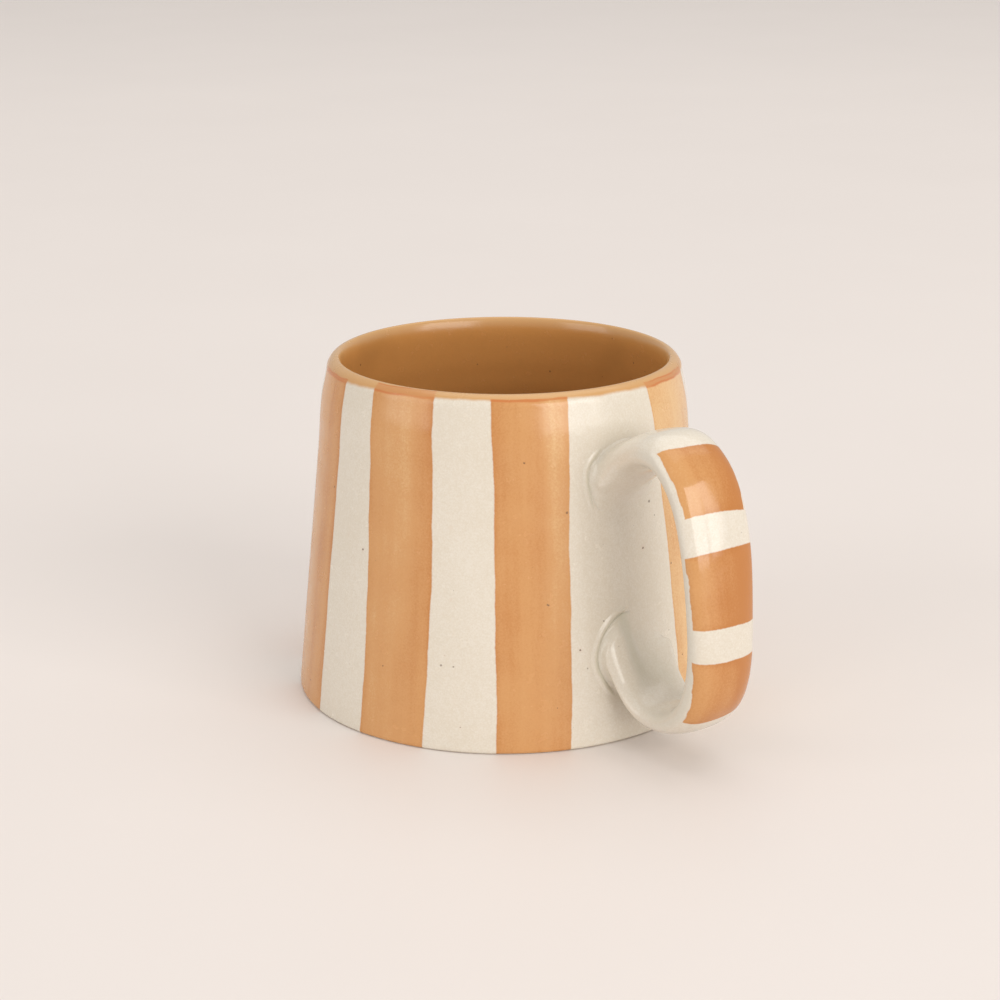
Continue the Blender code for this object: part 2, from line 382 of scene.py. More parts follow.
handle = {
    # sections from the upper joint to the lower: outer X, Z, inner X, Z, half width (mm), inner squareness
    "sections": [
        (39.5, 66.0, 41.8, 45.0, 9.2, 2.4),
        (43.2, 67.2, 44.6, 52.0, 8.9, 2.4),
        (47.6, 69.5, 48.3, 59.4, 8.6, 2.4),
        (55.3, 72.5, 54.6, 64.2, 8.5, 2.4),
        (60.4, 72.7, 58.9, 64.5, 8.5, 2.4),
        (64.9, 70.0, 62.4, 63.0, 8.5, 2.4),
        (69.5, 64.9, 65.6, 59.4, 8.5, 2.4),
        (72.7, 57.6, 68.0, 54.2, 8.5, 2.4),
        (75.1, 48.5, 69.6, 46.8, 8.5, 2.4),
        (76.9, 35.0, 70.5, 35.0, 8.5, 2.4),
        (77.0, 21.4, 70.1, 23.0, 8.5, 2.4),
        (74.4, 13.6, 67.8, 16.6, 8.5, 2.4),
        (69.2, 8.5, 63.6, 12.6, 8.5, 2.4),
        (62.4, 6.3, 59.0, 11.6, 8.5, 2.3),
        (56.4, 6.5, 55.0, 13.4, 8.6, 2.1),
        (51.9, 8.7, 51.4, 18.2, 8.9, 1.9),
        (48.8, 11.6, 48.3, 25.8, 9.4, 1.7),
        (44.6, 15.5, 45.5, 34.4, 10.2, 1.6),
    ],
    "outerSquareness": (2.4, 2.0),  # along the strap, and at its two ends
    "twist": math.radians(9.0),  # the upper half turns its face a little to the near side
    "twistComes": (20.0, 36.0),  # between these places along the strap, in mm
    "twistGoes": (40.0, 72.0),
    "dome": 0.15,  # the widest line lies this much of the half thickness in from the middle
    "fine": 1400,
    "rings": 330,
    "sides": 120,
    "filletSteps": 16,
    "root": 0.4 * mm,  # how deep the ends go into the wall
    "leastFillet": 0.3 * mm,
    "leaving": 1.1,  # how strongly a fillet keeps its direction as it leaves the strap and as it arrives
    "arriving": 1.5,
    "ringPull": 0.4,  # how much less strongly it arrives where there is a ring
    "underRoundness": 1.9,  # the inner side is rounder by the upper joint
    "waist": 0.2,  # how much narrower the strap is on each side by the upper joint, in mm
    # near the lower joint a thumb stroke hollows the inner face, and cuts its far shoulder down
    "hollow": {"from": 98.0, "full": 109.0, "depth": 0.42, "near": (-0.62, -0.30), "far": (0.35, 0.95)},
    "shoulder": {"from": 101.0, "full": 114.0, "depth": 0.55, "across": (-0.3, 0.8)},
    # painted bands: start and end along the strap in mm, at its middle, how much each end tilts across
    # it, how much earlier the near corner starts, how far round the strap the paint reaches at the start
    # and how fast that narrows, and how thick it is
    "bands": [
        (27.8, 40.8, 0.085, 0.11, 0.025, 8.3, 0.05, 0.24),
        (47.9, 63.5, 0.0, 0.03, 0.0, 9.1, 0.0, 0.40),
        (70.5, 84.4, 0.02, -0.10, 0.0, 9.7, 0.09, 0.42),
    ],
}


joints = {
    # where each end of the strap spreads onto the wall: the outline's middle height, then its distance
    # from there in mm in each direction (degrees: 0 is the far side, 90 up, 180 the near side). A groove
    # and a ring of slip run round part of it. The strap ends "standOff" mm clear of the wall and its
    # fillet takes over, and "early" mm sooner where it blends in smoothly.
    "upper": {
        "middle": 59.0,
        "outerFaceUp": 1,
        "outline": [
            (0, 9.9), (30, 9.9), (50, 9.4), (74, 8.9), (97, 8.3), (117, 8.5), (134, 9.2), (150, 10.0),
            (165, 10.3), (188, 10.0), (205, 10.1), (221, 9.8), (238, 9.3), (258, 8.6), (290, 8.3),
            (331, 9.4),
        ],
        "standOff": 1.9,
        "early": 4.0,
    },
    "lower": {
        "middle": 19.5,
        "outerFaceUp": -1,
        "outline": [
            (0, 9.7), (11, 8.8), (24, 7.7), (40, 7.3), (57, 7.4), (77, 8.2), (96, 9.5), (107, 10.9),
            (114, 10.8), (126, 10.7), (141, 10.6), (160, 10.6), (174, 10.9), (198, 10.7), (223, 10.5),
            (250, 10.4), (270, 10.2), (298, 10.4), (320, 10.7), (345, 10.2),
        ],
        "standOff": 2.2,
        "early": 3.2,
    },
}


def jointSmooth(name, cosine, sine):
    # 1 where the strap runs smoothly into the wall: underneath at the upper joint, and the thumb stroke
    # and the far side at the lower one
    if name == "upper":
        return smoothRise(-sine, -0.05, 0.75)
    return smoothRise(-sine, 0.15, 0.75) * smoothRise(cosine, -0.42, 0.05)


def ringStrength(name, degrees):
    # the ring shows on the near flank of the upper joint and all along the near side of the lower one
    if name == "upper":
        return 0.85 * smoothRise(degrees, 112.0, 150.0) * (1 - smoothRise(degrees, 190.0, 232.0))
    return smoothRise(degrees, 92.0, 112.0) * (1 - smoothRise(degrees, 212.0, 250.0))


slipRing = {
    "width": 2.2 * mm,
    "height": 0.30 * mm,
    "depth": 0.4 * mm,  # how far its underside lies inside the wall
    "overlap": 0.2 * mm,  # how far it starts under the strap's fillet
    "steps": 22,
    "sink": 0.14 * mm,  # how far the ridge sinks below the wall where the ring fades
    "fall": 0.08 * mm,  # and at its outer edge
    "groove": 0.85,  # mm from the groove to the outline, which is the ring's crest
    "grooveHeight": (0.16 * mm, -0.03 * mm),  # above the wall, with the ring and without it
    "knob": 0.8,  # a lump at one place on the lower ring: how much higher, and where (degrees)
    "knobAt": 108.0,
    "knobSpread": 6.0,
}


def splineRows(rows, count):
    # natural cubic splines through the rows, spaced by the length of the strap's middle line
    middle = np.column_stack([rows[:, 0] + rows[:, 2], rows[:, 1] + rows[:, 3]]) / 2
    steps = np.hypot(*np.diff(middle, axis=0).T)
    knots = np.append(0.0, np.cumsum(steps))
    slopes = np.diff(rows, axis=0) / steps[:, None]
    size = len(knots)
    k = np.arange(1, size - 1)
    system = np.eye(size)
    system[k, k - 1] = steps[:-1]
    system[k, k] = 2 * (steps[:-1] + steps[1:])
    system[k, k + 1] = steps[1:]
    bends = np.zeros_like(rows)
    bends[1:-1] = 6 * np.diff(slopes, axis=0)
    bends = np.linalg.solve(system, bends)
    along = np.linspace(0, knots[-1], count)
    left = np.clip(np.searchsorted(knots, along) - 1, 0, size - 2)
    width = steps[left][:, None]
    before = (along - knots[left])[:, None]
    after = width - before
    values = (
        (bends[left] * after**3 + bends[left + 1] * before**3) / (6 * width)
        + (rows[left] / width - bends[left] * width / 6) * after
        + (rows[left + 1] / width - bends[left + 1] * width / 6) * before
    )
    return values, along


def sectionAngles():
    angle = np.arange(handle["sides"]) * 2 * np.pi / handle["sides"]
    return np.cos(angle), np.sin(angle)


def strapSurface():
    # superellipse sections carried from the outer line to the inner line, on a fine grid. Near the lower
    # joint the inner face sinks between its two edges, more on the far side.
    rows, along = splineRows(np.array(handle["sections"]), handle["fine"])
    cosine, sine = (v[None, :] for v in sectionAngles())
    square, squareAtEnds = handle["outerSquareness"]
    middlePart = smoothRise(along, 4.0, 22.0) * (1 - smoothRise(along, 95.0, 112.0))
    outerPower = squareAtEnds + (square - squareAtEnds) * middlePart[:, None]
    byJoint = 1 - smoothRise(along, 12.0, 26.0)[:, None]
    innerPower = rows[:, 5:6] + (handle["underRoundness"] - rows[:, 5:6]) * byJoint
    power = np.where(sine >= 0, outerPower, innerPower)
    reach = (np.abs(cosine) ** power + np.abs(sine) ** power) ** (-1 / power)
    across, up = cosine * reach, sine * reach
    place = along[:, None]
    hollow, shoulder = handle["hollow"], handle["shoulder"]
    sunk = hollow["depth"] * smoothRise(place, hollow["from"], hollow["full"])
    sunk = sunk * smoothRise(across, *hollow["near"]) * (1 - smoothRise(across, *hollow["far"]))
    cut = shoulder["depth"] * smoothRise(place, shoulder["from"], shoulder["full"])
    cut = cut * smoothRise(across, *shoulder["across"])
    up = up * np.where(up < 0, 1 - sunk - cut, 1.0)
    outer, inner = rows[:, None, 0:2], rows[:, None, 2:4]
    dome = handle["dome"] * middlePart[:, None]
    up = up * np.where(up > 0, 1 + dome, 1 - dome) - dome
    halfWidth = rows[:, 4:5] - handle["waist"] * (1 - smoothRise(place, 9.0, 22.0))
    # turning the section mixes its two directions, each in mm
    thick = np.linalg.norm(outer - inner, axis=-1) / 2
    turn = handle["twist"] * smoothRise(place, *handle["twistComes"])
    turn = turn * (1 - smoothRise(place, *handle["twistGoes"]))
    upTurned = up * np.cos(turn) + halfWidth / thick * across * np.sin(turn)
    sideways = halfWidth * across * np.cos(turn) - thick * up * np.sin(turn)
    placed = (outer + inner) / 2 + (outer - inner) / 2 * upTurned[..., None]
    points = np.stack([placed[..., 0], sideways, placed[..., 1]], -1) * mm
    # distance round the section from the middle of the outer face
    step = np.linalg.norm(np.roll(points, -1, 1) - points, axis=-1) / mm
    quarter = handle["sides"] // 4
    total = np.cumsum(step, 1) - step
    around = (total - total[:, quarter : quarter + 1]) % step.sum(1, keepdims=True)
    around = np.minimum(around, step.sum(1, keepdims=True) - around)
    # the sunken inner face gets pooled glaze and painted shade, darker where it sinks deeper
    pooledAndShaded = np.where(up < 0, sunk * 2.2, 0.0) + np.zeros_like(up)
    return points, np.broadcast_to(place, across.shape), around, halfWidth * across, pooledAndShaded


def takeAlong(grid, place):
    # values between the grid's rows, each column at its own places
    low = np.clip(np.floor(place).astype(int), 0, grid.shape[0] - 2)
    part = place - low
    column = np.broadcast_to(np.arange(grid.shape[1]), place.shape)
    if grid.ndim == 3:
        part = part[..., None]
    return grid[low, column] * (1 - part) + grid[low + 1, column] * part


def ontoWall(points, height=0.0):
    # the same direction and height, moved to the wall's surface and then out by height
    theta = np.arctan2(points[..., 1], points[..., 0])
    radius = wallSurface(theta, points[..., 2]) + height
    return np.stack([radius * np.cos(theta), radius * np.sin(theta), points[..., 2]], -1)


def wallNormal(points):
    theta = np.arctan2(points[..., 1], points[..., 0])
    slope = (baseRadius - rimRadius) / cupHeight
    normal = np.stack([np.cos(theta), np.sin(theta), np.full_like(theta, slope)], -1)
    return normal / np.linalg.norm(normal, axis=-1, keepdims=True)


def unit(v):
    return v / np.maximum(np.linalg.norm(v, axis=-1, keepdims=True), 1e-12)


def alongWall(direction, points):
    # the part of a direction that lies in the wall's surface
    normal = wallNormal(points)
    return unit(direction - (direction * normal).sum(-1, keepdims=True) * normal)


def jointOutline(name, degrees):
    # the outline's distance in any direction: read between its points, then kept to its 10 slowest waves
    angles, distances = np.array(joints[name]["outline"]).T
    fine = np.interp(np.arange(360), angles, distances, period=360)
    waves = np.fft.rfft(fine)[:11]
    return np.interp(degrees, np.arange(360), np.fft.irfft(waves, 360), period=360)


def jointFillet(name, edge, towards):
    # Hermite curves from the strap's edge to the groove on the wall: they leave along the strap and
    # arrive lying along the wall. Also gives the groove line, its outward direction and the ring's strength.
    sizes = joints[name]
    column = np.arange(handle["sides"]) * 360 / handle["sides"]
    degrees = (column * sizes["outerFaceUp"]) % 360
    ring = ringStrength(name, degrees)
    distance = (jointOutline(name, degrees) - slipRing["groove"] * ring) * mm
    # nowhere inside the strap's own edge
    edgeUp = edge[:, 2] - sizes["middle"] * mm
    edgeAcross = np.arctan2(edge[:, 1], edge[:, 0]) * outerRadius(edge[:, 2])
    least = np.hypot(edgeAcross, edgeUp) + handle["leastFillet"]
    sameSide = np.cos(np.arctan2(edgeUp, edgeAcross) - np.radians(degrees))
    distance = distance + np.maximum(least - distance, 0.0) * smoothRise(sameSide, 0.80, 0.97)
    angle = np.radians(degrees)
    z = sizes["middle"] * mm + distance * np.sin(angle)
    theta = distance * np.cos(angle) / outerRadius(z)
    groove = np.stack([np.cos(theta), np.sin(theta), z], -1)
    withRing, without = slipRing["grooveHeight"]
    groove = ontoWall(groove, withRing * ring + without * (1 - ring))
    outward = np.stack([-np.sin(theta) * np.cos(angle), np.cos(theta) * np.cos(angle), np.sin(angle)], -1)
    outward = alongWall(outward, groove)
    span = np.linalg.norm(groove - edge, axis=-1, keepdims=True)
    t = np.linspace(0, 1, handle["filletSteps"] + 1)[1:, None, None]
    curve = (
        (2 * t**3 - 3 * t**2 + 1) * edge
        + (t**3 - 2 * t**2 + t) * towards * span * handle["leaving"]
        + (3 * t**2 - 2 * t**3) * groove
        + (t**3 - t**2) * outward * span * (handle["arriving"] - handle["ringPull"] * ring[:, None])
    )
    root = groove - wallNormal(groove) * handle["root"]
    return dict(curve=curve, groove=groove, outward=outward, ring=ring, degrees=degrees, root=root)


def makeHandle():
    points, along, around, across, pooledAndShaded = strapSurface()
    offWall = np.hypot(points[..., 0], points[..., 1]) - wallSurface(
        np.arctan2(points[..., 1], points[..., 0]), points[..., 2]
    )
    column = np.arange(handle["sides"])
    standOff = {}
    for name, sizes in joints.items():
        standOff[name] = (sizes["standOff"] + sizes["early"] * jointSmooth(name, *sectionAngles())) * mm
    # the first and last places along each line of the strap that are clear of the wall
    first = (offWall > standOff["upper"]).argmax(0)
    last = len(offWall) - 1 - (offWall > standOff["lower"])[::-1].argmax(0)
    gap = lambda row: offWall[row, column]
    start = first - 1 + (standOff["upper"] - gap(first - 1)) / (gap(first) - gap(first - 1))
    end = last + (gap(last) - standOff["lower"]) / (gap(last) - gap(last + 1))
    share = np.linspace(0, 1, handle["rings"])[:, None]
    place = start * (1 - share) + end * share
    strap = takeAlong(points, place)
    values = {"along": along, "around": around, "across": across, "poolAndShade": pooledAndShaded}
    values = {key: takeAlong(v, place) for key, v in values.items()}
    ends = {
        "upper": jointFillet("upper", strap[0], unit(strap[0] - strap[1])),
        "lower": jointFillet("lower", strap[-1], unit(strap[-1] - strap[-2])),
    }
    upper, lower = ends["upper"], ends["lower"]
    upperPart, lowerPart = (np.concatenate([end["curve"], end["root"][None]]) for end in (upper, lower))
    rings = np.concatenate([upperPart[::-1], strap, lowerPart])
    extra = handle["filletSteps"] + 1
    grown = {key: np.pad(v, ((extra, extra), (0, 0)), "edge") for key, v in values.items()}
    # glaze gathers towards each groove, and painted shade darkens it there too
    gather = np.append(1.0, np.linspace(1, 0, extra - 1))[:, None] ** 2
    grown["poolAndShade"][:extra] += gather * 0.3 * upper["ring"]
    grown["poolAndShade"][-extra:] *= 1 - gather[::-1] ** 0.5 * (1 - lower["ring"])
    grown["poolAndShade"][-extra:] += gather[::-1] * 0.4 * lower["ring"]
    caps = {"startCap": [upper["root"].mean(0)], "endCap": [lower["root"].mean(0)]}
    piece = ringMesh("handle_glazed", rings, grown, **caps)
    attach(piece, "root")
    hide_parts("handle")
    return piece, ends


def makeSlipRing(name, node, end):
    # a closed band round the joint: over the top a narrow ridge that falls to the wall at both edges, and
    # back underneath the wall's surface. Where the joint is smooth the ridge sinks out of sight.
    share = np.linspace(0, 1, slipRing["steps"])[:, None]
    reach = -slipRing["overlap"] + (slipRing["width"] + slipRing["overlap"]) * share
    ridge = slipRing["height"] * np.sin(np.pi * share**0.85) ** 3
    ridge = ridge * end["ring"] - slipRing["sink"] * (1 - end["ring"]) - slipRing["fall"] * share**4
    if name.startswith("lower"):
        knob = bell(end["degrees"], slipRing["knobAt"], slipRing["knobSpread"])
        ridge = ridge * (1 + slipRing["knob"] * knob)
    over = ontoWall(end["groove"][None] + end["outward"][None] * reach[..., None], ridge)
    under = ontoWall(over[::-1][1:-1:3], -slipRing["depth"])
    rings = np.concatenate([over, under])
    # pooled glaze and painted shade along the ring's groove side
    poolAndShade = np.append(bell(share[:, 0], 0.0, 0.35), np.zeros(len(under)))
    piece = ringMesh(name, rings, {"poolAndShade": poolAndShade[:, None]}, closeAlong=True)
    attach(piece, "root")
    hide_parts(node)
    return piece


cupPiece = makeCupBody()
print("cup body made:", len(cupPiece.data.polygons), "faces")
handlePiece, jointEnds = makeHandle()
print("handle made:", len(handlePiece.data.polygons), "faces")
slipPieces = [
    makeSlipRing(f"{name}_slip_ring", f"{name}_luting_slip", jointEnds[name]) for name in joints
]
print("slip rings made")


def feed(tree, socket, value):
    # links another node's output to the socket, or sets a plain value
    if isinstance(value, bpy.types.NodeSocket):
        tree.links.new(value, socket)
    else:
        socket.default_value = value


def addNode(tree, kind, inputs=None, **settings):
    made = tree.nodes.new("ShaderNode" + kind)
    for key, value in settings.items():
        setattr(made, key, value)
    for key, value in (inputs or {}).items():
        feed(tree, made.inputs[key], value)
    return made


def calc(tree, operation, *values, clamp=False):
    return addNode(tree, "Math", dict(enumerate(values)), operation=operation, use_clamp=clamp).outputs[0]


def rise(tree, value, low, high, toLow=0.0, toHigh=1.0):
    # an S-shaped step from low to high
    inputs = {"Value": value, "From Min": low, "From Max": high, "To Min": toLow, "To Max": toHigh}
    return addNode(tree, "MapRange", inputs, interpolation_type="SMOOTHSTEP").outputs["Result"]


def blendColour(tree, factor, first, second):
    ends = [v if isinstance(v, bpy.types.NodeSocket) else (*v, 1.0) for v in (first, second)]
    inputs = {0: factor, 6: ends[0], 7: ends[1]}
    return addNode(tree, "Mix", inputs, data_type="RGBA", clamp_factor=True).outputs[2]


def noise(tree, place, scale, detail=2.0, roughness=0.5):
    values = {"Vector": place, "Scale": scale, "Detail": detail, "Roughness": roughness}
    return addNode(tree, "TexNoise", values).outputs["Fac"]


def centred(tree, value):
    # a noise's 0 to 1 made -0.5 to 0.5
    return calc(tree, "SUBTRACT", value, 0.5)


def readValue(tree, name):
    return addNode(tree, "Attribute", attribute_name=name).outputs["Fac"]


def startGroup(name, inputs, outputs):
    # every group takes a place and some numbers, and gives numbers
    tree = bpy.data.node_groups.new(name, "ShaderNodeTree")
    tree.interface.new_socket("Place", in_out="INPUT", socket_type="NodeSocketVector")
    for label, value in inputs.items():
        socket = tree.interface.new_socket(label, in_out="INPUT", socket_type="NodeSocketFloat")
        socket.default_value = value
    for label in outputs:
        tree.interface.new_socket(label, in_out="OUTPUT", socket_type="NodeSocketFloat")
    return tree, tree.nodes.new("NodeGroupInput").outputs, tree.nodes.new("NodeGroupOutput").inputs


def useGroup(tree, group, inputs):
    return addNode(tree, "Group", inputs, node_tree=group).outputs


brush = {
    "tearScales": (420.0, 1900.0),  # the coarse and the fine raggedness of the edge
    "coarseTears": 1.2,
    "stretch": 0.055,  # streaks are this share as frequent along the stroke as across it
    "apart": 7.31,  # how far apart two bands lie in the noise
    "streakScales": (0.24, 1.4),  # broad streaks and single hairs, across the stroke
    # how strongly each thing changes the paint's density
    "streaks": 0.55,
    "hairs": 0.11,
    "patches": 0.4,
    "sand": 0.5,
    "settled": 0.24,
    "settledFall": 1.3,  # how fast the settled edge fades inwards, per mm
}


def makeBrushedPaint():
    # slip colour laid on with a loaded brush: a slightly ragged edge, streaks along the stroke,
    # cloudy patches and a denser line where the colour settled at the edge
    inputs = {"Inside": 0.0, "Across": 0.0, "Along": 0.0, "Number": 0.0, "Load": 0.0}
    inputs.update({"Soft Edge": 0.16, "Ragged": 0.3})
    tree, given, out = startGroup("brushedPaint", inputs, ["Mask", "Density"])
    coarse, fine = (centred(tree, noise(tree, given["Place"], scale)) for scale in brush["tearScales"])
    torn = calc(tree, "MULTIPLY_ADD", coarse, brush["coarseTears"], fine)
    inside = calc(tree, "MULTIPLY_ADD", torn, given["Ragged"], given["Inside"])
    softness = given["Soft Edge"]
    tree.links.new(rise(tree, inside, calc(tree, "MULTIPLY", softness, -1.0), softness), out["Mask"])
    # each band reads its own part of the noise
    seed = calc(tree, "MULTIPLY", given["Number"], brush["apart"])
    stretched = calc(tree, "MULTIPLY", given["Along"], brush["stretch"])
    stroke = addNode(tree, "CombineXYZ", {0: given["Across"], 1: stretched, 2: seed}).outputs[0]
    streakScale, hairScale = brush["streakScales"]
    streaks = centred(tree, noise(tree, stroke, streakScale, 2.0, 0.5))
    hairs = centred(tree, noise(tree, stroke, hairScale, 2.0, 0.6))
    patches = centred(tree, noise(tree, given["Place"], 90.0, 3.0))
    sand = centred(tree, noise(tree, given["Place"], 2300.0, 2.0, 0.7))
    fromEdge = calc(tree, "MAXIMUM", inside, 0.0)
    settled = calc(tree, "EXPONENT", calc(tree, "MULTIPLY", fromEdge, -brush["settledFall"]))
    density = calc(tree, "ADD", given["Load"], 0.5)
    effects = {"streaks": streaks, "hairs": hairs, "patches": patches, "sand": sand, "settled": settled}
    for name, effect in effects.items():
        density = calc(tree, "MULTIPLY_ADD", effect, brush[name], density)
    tree.links.new(calc(tree, "MAXIMUM", density, 0.0), out["Density"])
    return tree


def makeIronSpecks():
    # scattered dots where iron in the clay came through: cells of a Voronoi pattern, most left empty
    inputs = {"Cells": 300.0, "Size": 0.1, "Share": 0.2}
    tree, given, out = startGroup("ironSpecks", inputs, ["Specks", "Halo"])
    pattern = {"Vector": given["Place"], "Scale": given["Cells"], "Randomness": 1.0}
    cells = addNode(tree, "TexVoronoi", pattern, feature="F1")
    pick = addNode(tree, "SeparateColor", {0: cells.outputs["Color"]}).outputs
    chosen = calc(tree, "LESS_THAN", pick[0], given["Share"])
    size = calc(tree, "MULTIPLY", calc(tree, "MULTIPLY_ADD", pick[1], 0.75, 0.25), given["Size"])
    uneven = noise(tree, given["Place"], 5000.0, 1.0)
    fromMiddle = calc(tree, "MULTIPLY_ADD", uneven, 0.08, cells.outputs["Distance"])
    spot = rise(tree, fromMiddle, calc(tree, "MULTIPLY", size, 1.5), size)
    halo = rise(tree, fromMiddle, calc(tree, "MULTIPLY", size, 3.6), size)
    tree.links.new(calc(tree, "MULTIPLY", spot, chosen), out["Specks"])
    tree.links.new(calc(tree, "MULTIPLY", halo, chosen), out["Halo"])
    return tree


def makeGlazeGrain():
    # the fired glaze: fine sandy grain, clouds of thicker and thinner glaze, and a gently uneven surface
    inputs = {"Grain": 1.0, "Clouds": 1.0}
    tree, given, out = startGroup("glazeGrain", inputs, ["Shade", "Height", "Gloss"])
    fine = centred(tree, noise(tree, given["Place"], 2400.0, 2.0, 0.7))
    sandy = centred(tree, noise(tree, given["Place"], 900.0, 2.0, 0.6))
    clouds = centred(tree, noise(tree, given["Place"], 50.0, 2.0, 0.5))
    shade = calc(tree, "MULTIPLY", calc(tree, "MULTIPLY_ADD", sandy, 0.35, fine), given["Grain"])
    shade = calc(tree, "MULTIPLY_ADD", clouds, given["Clouds"], shade)
    tree.links.new(calc(tree, "ADD", shade, 0.5), out["Shade"])
    waves = noise(tree, given["Place"], 120.0, 2.0, 0.45)
    orange = noise(tree, given["Place"], 650.0, 2.0, 0.5)
    height = calc(tree, "MULTIPLY_ADD", orange, 0.14, waves)
    tree.links.new(calc(tree, "MULTIPLY_ADD", fine, 0.07, height), out["Height"])
    tree.links.new(noise(tree, given["Place"], 240.0, 3.0, 0.6), out["Gloss"])
    return tree


brushedPaint = makeBrushedPaint()
ironSpecks = makeIronSpecks()
glazeGrain = makeGlazeGrain()

colours = {
    "cream": (0.755, 0.705, 0.62),
    "creamThin": (0.69, 0.625, 0.52),
    # greenish grey of glaze pooled in grooves and hollows, partly painted shade
    "pooledAndShaded": (0.56, 0.54, 0.43),
    "tanThin": (0.74, 0.49, 0.245),
    "tan": (0.62, 0.315, 0.118),
    "tanThick": (0.50, 0.195, 0.050),
    "honey": (0.525, 0.245, 0.072),
    "honeyThin": (0.63, 0.395, 0.18),
    "overlap": (0.55, 0.185, 0.050),
    "paintedFlankShade": (0.62, 0.60, 0.52),
    "speck": (0.10, 0.05, 0.025),
    "clay": (0.60, 0.50, 0.39),
}

glazes = {
    "ior": 1.52,
    "bumpDepth": 0.05 * mm,
    "paintRelief": 0.05,  # how high paint and the honey glaze stand, as a share of the bump's height
    "honeyRelief": 0.3,
    "cupRoughness": (0.15, 0.28),
    "handleRoughness": (0.09, 0.17),
    "clayRoughness": 0.85,
    # iron specks: how many cells to a metre, the largest size, the share of cells filled, the strength
    "crumbs": (620.0, 0.11, 0.12, 0.28),
    "cupSpecks": (230.0, 0.08, 0.26, 0.85),
    "cupFineSpecks": (420.0, 0.15, 0.09, 0.65),
    "handleSpecks": (260.0, 0.06, 0.12, 0.7),
    "halo": 0.08,  # the brown stain round each of the cup's larger specks
}


def toned(name, share):
    # one of the colours made lighter or darker
    return [c * share for c in colours[name]]


def startGlaze(name):
    material = bpy.data.materials.new(name)
    material.use_nodes = True
    tree = material.node_tree
    shader = tree.nodes["Principled BSDF"]
    shader.inputs["IOR"].default_value = glazes["ior"]
    place = addNode(tree, "TexCoord").outputs["Object"]
    grain = useGroup(tree, glazeGrain, {"Place": place, "Grain": 1.1, "Clouds": 0.45})
    return material, tree, shader, place, grain


def speckle(tree, place, colour, specks, halo=0.0):
    # iron specks over a colour, and a brown stain round each where halo is given
    cells, size, share, strength = specks
    dots = useGroup(tree, ironSpecks, {"Place": place, "Cells": cells, "Size": size, "Share": share})
    if halo > 0:
        colour = blendColour(tree, calc(tree, "MULTIPLY", dots["Halo"], halo), colour, colours["overlap"])
    return blendColour(tree, calc(tree, "MULTIPLY", dots["Specks"], strength), colour, colours["speck"])


def creamColour(tree, grain, place):
    thick = rise(tree, grain["Shade"], 0.25, 0.85)
    cream = blendColour(tree, thick, colours["creamThin"], colours["cream"])
    return speckle(tree, place, cream, glazes["crumbs"])


def paintColour(tree, density):
    thin = blendColour(tree, rise(tree, density, 0.1, 0.55), colours["tanThin"], colours["tan"])
    return blendColour(tree, rise(tree, density, 0.5, 1.1), thin, colours["tanThick"])


def variedRoughness(tree, grain, roughness):
    # the glaze's roughness, varied between its two values
    low, high = roughness
    return rise(tree, grain["Gloss"], 0.3, 0.7, low, high)


def finishGlaze(tree, shader, colour, roughness, height):
    tree.links.new(colour, shader.inputs["Base Color"])
    tree.links.new(roughness, shader.inputs["Roughness"])
    bump = addNode(tree, "Bump", {"Strength": 1.0, "Distance": glazes["bumpDepth"], "Height": height})
    tree.links.new(bump.outputs[0], shader.inputs["Normal"])


